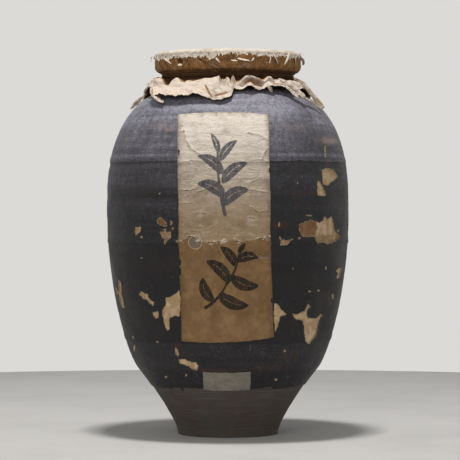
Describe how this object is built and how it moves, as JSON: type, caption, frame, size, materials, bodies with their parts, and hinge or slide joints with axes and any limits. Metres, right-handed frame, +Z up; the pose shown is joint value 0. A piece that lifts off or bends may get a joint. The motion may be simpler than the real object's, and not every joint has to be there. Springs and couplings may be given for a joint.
{
  "type": "tea storage jar",
  "caption": "Tall stoneware storage jar pasted over with worn dark paper, with a blank pale label, a wooden inner lid and a paper-covered cap tied at the neck.",
  "frame": {"origin": "centre of the foot, on the surface that the jar stands on", "axes": "+Z up along the jar's axis, -Y towards the front label"},
  "size_m": [0.4325, 0.4338, 0.6841],
  "materials": {
    "stoneware": "unglazed, matt, faintly mottled",
    "pale_paper": "aged fibrous paper",
    "dark_paper": "persimmon-tannin paper, worn, dull sheen",
    "label_paper": "aged, creased paper",
    "foot_label_paper": "grey aged paper",
    "cedar": "plain planed wood",
    "peg_wood": "plain split wood",
    "cover_paper": "thick crumpled paper",
    "top_sheet": "worn fibrous paper",
    "hemp": "twisted hemp"
  },
  "bodies": {
    "jar": {"jar": "stoneware", "lining_paper": "pale_paper", "shoulder_paper": "dark_paper", "upper_paper": "dark_paper", "lower_paper": "dark_paper", "hem_paper": "dark_paper", "front_label": "label_paper", "foot_label": "foot_label_paper"},
    "inner_lid": {"inner_lid": "cedar", "inner_lid_battens": "cedar", "inner_lid_pegs": "peg_wood"},
    "cap": {"cap_board": "cedar", "cap_ring": "cedar", "cap_pegs": "peg_wood", "cover_paper": "cover_paper", "top_sheet": "top_sheet", "tie_cord": "hemp"}
  },
  "joints": [
    {"name": "inner_lid_lift", "type": "slide", "parent": "jar", "child": "inner_lid", "axis": [0, 0, 1], "range_m": [0, 0.12]},
    {"name": "cap_lift", "type": "slide", "parent": "inner_lid", "child": "cap", "axis": [0, 0, 1], "range_m": [0, 0.2]}
  ]
}
